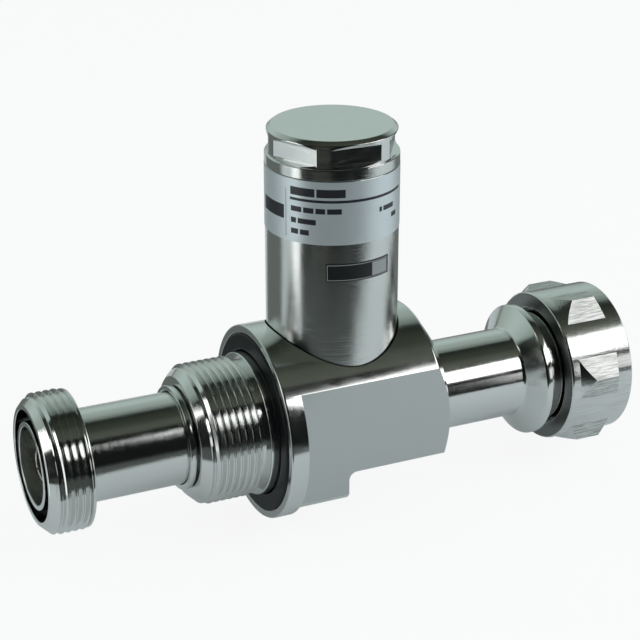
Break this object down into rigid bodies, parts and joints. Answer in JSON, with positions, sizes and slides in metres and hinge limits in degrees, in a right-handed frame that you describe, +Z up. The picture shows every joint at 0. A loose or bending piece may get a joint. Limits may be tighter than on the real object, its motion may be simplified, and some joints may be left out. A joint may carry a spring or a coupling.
{
  "type": "coax lightning arrestor",
  "caption": "Bulkhead-mounted coaxial lightning arrestor with a shorted stub tower, a threaded socket at one end and a coupling nut at the other.",
  "frame": {"origin": "centre of the panel seat, on the line's axis", "axes": "+X along the line towards the coupling nut, +Z up along the stub tower, the main spanner flat faces -Y"},
  "size_m": [0.1313, 0.0412, 0.0835],
  "materials": {
    "nickel_bright": "bright nickel plate on turned brass",
    "nickel_satin": "satin nickel plate on turned brass, with fine turning marks",
    "silver_contact": "silver plate on turned copper alloy",
    "spring_steel": "plain spring steel",
    "white_insulator": "white fluoropolymer, matt",
    "black_rubber": "black seal rubber",
    "label_film": "pale blue-grey film with dark rules and marks",
    "plate_film": "black film with one pale field"
  },
  "bodies": {
    "arrestor": {"main_body": "nickel_satin", "socket_shell": "nickel_bright", "socket_lock_ring": "nickel_bright", "socket_insulator": "white_insulator", "socket_centre_contact": "silver_contact", "line_conductor": "silver_contact", "plug_centre_pin": "silver_contact", "plug_insulator": "white_insulator", "plug_shell": "nickel_bright", "plug_lock_ring": "nickel_bright", "nut_retaining_ring": "spring_steel", "plug_gasket": "black_rubber", "panel_seal": "black_rubber", "stub_tube": "nickel_satin", "stub_base_seal": "black_rubber", "stub_conductor": "silver_contact", "stub_short": "silver_contact", "stub_screw": "spring_steel", "stub_cap": "nickel_satin", "cap_seal": "black_rubber", "rating_label": "label_film", "type_plate": "plate_film"},
    "nut": {"coupling_nut": "nickel_bright"}
  },
  "joints": [
    {"name": "coupling_nut_spin", "type": "hinge", "parent": "arrestor", "child": "nut", "pos_m": [0.0758, 0, 0], "axis": [1, 0, 0], "continuous": true}
  ]
}
